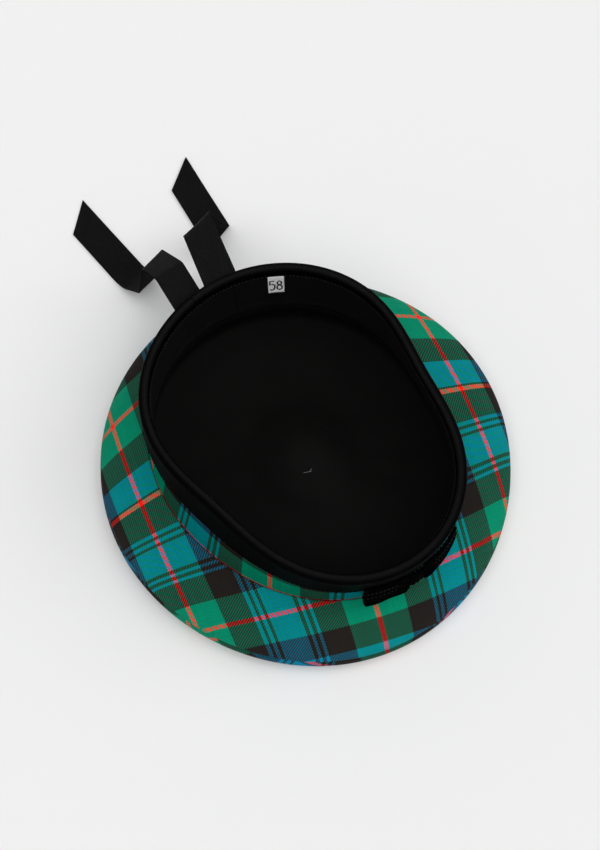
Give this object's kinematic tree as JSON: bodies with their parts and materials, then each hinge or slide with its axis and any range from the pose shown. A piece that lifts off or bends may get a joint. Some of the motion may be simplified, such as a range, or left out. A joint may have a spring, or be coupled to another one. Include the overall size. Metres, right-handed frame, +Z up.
{
  "type": "balmoral bonnet",
  "caption": "Round flat cloth bonnet lying on its crown, mouth up, with an oval headband, bound rim, lined hollow, ribbon bow in front and ribbon tails behind.",
  "frame": {"origin": "middle of the whole part's box, on the surface that the crown lies on", "axes": "+Z up out of the mouth, +Y to the wearer's back, along the headband's long axis, where the ribbon tails lie, +X across the headband"},
  "size_m": [0.2588, 0.3876, 0.082],
  "materials": {
    "tartan_cloth": "matte woollen twill in a green, teal and black tartan with fine red and blue lines",
    "black_binding": "black folded braid with a soft sheen",
    "black_leatherette": "smooth black, satin sheen",
    "black_satin": "thin black lining cloth",
    "white_label": "matte white with a dark printed number",
    "black_ribbon": "black ribbon with fine lengthwise ribs",
    "red_wool": "dense cut wool pile"
  },
  "bodies": {
    "root": {"crown_top": "tartan_cloth", "crown_underside": "tartan_cloth", "headband": "tartan_cloth", "edge_binding": "black_binding", "sweatband": "black_leatherette", "lining": "black_satin", "size_label": "white_label", "ribbon_left": "black_ribbon", "ribbon_right": "black_ribbon", "cockade_left": "black_ribbon", "cockade_knot": "black_ribbon", "cockade_right": "black_ribbon", "toorie": "red_wool"}
  },
  "joints": []
}
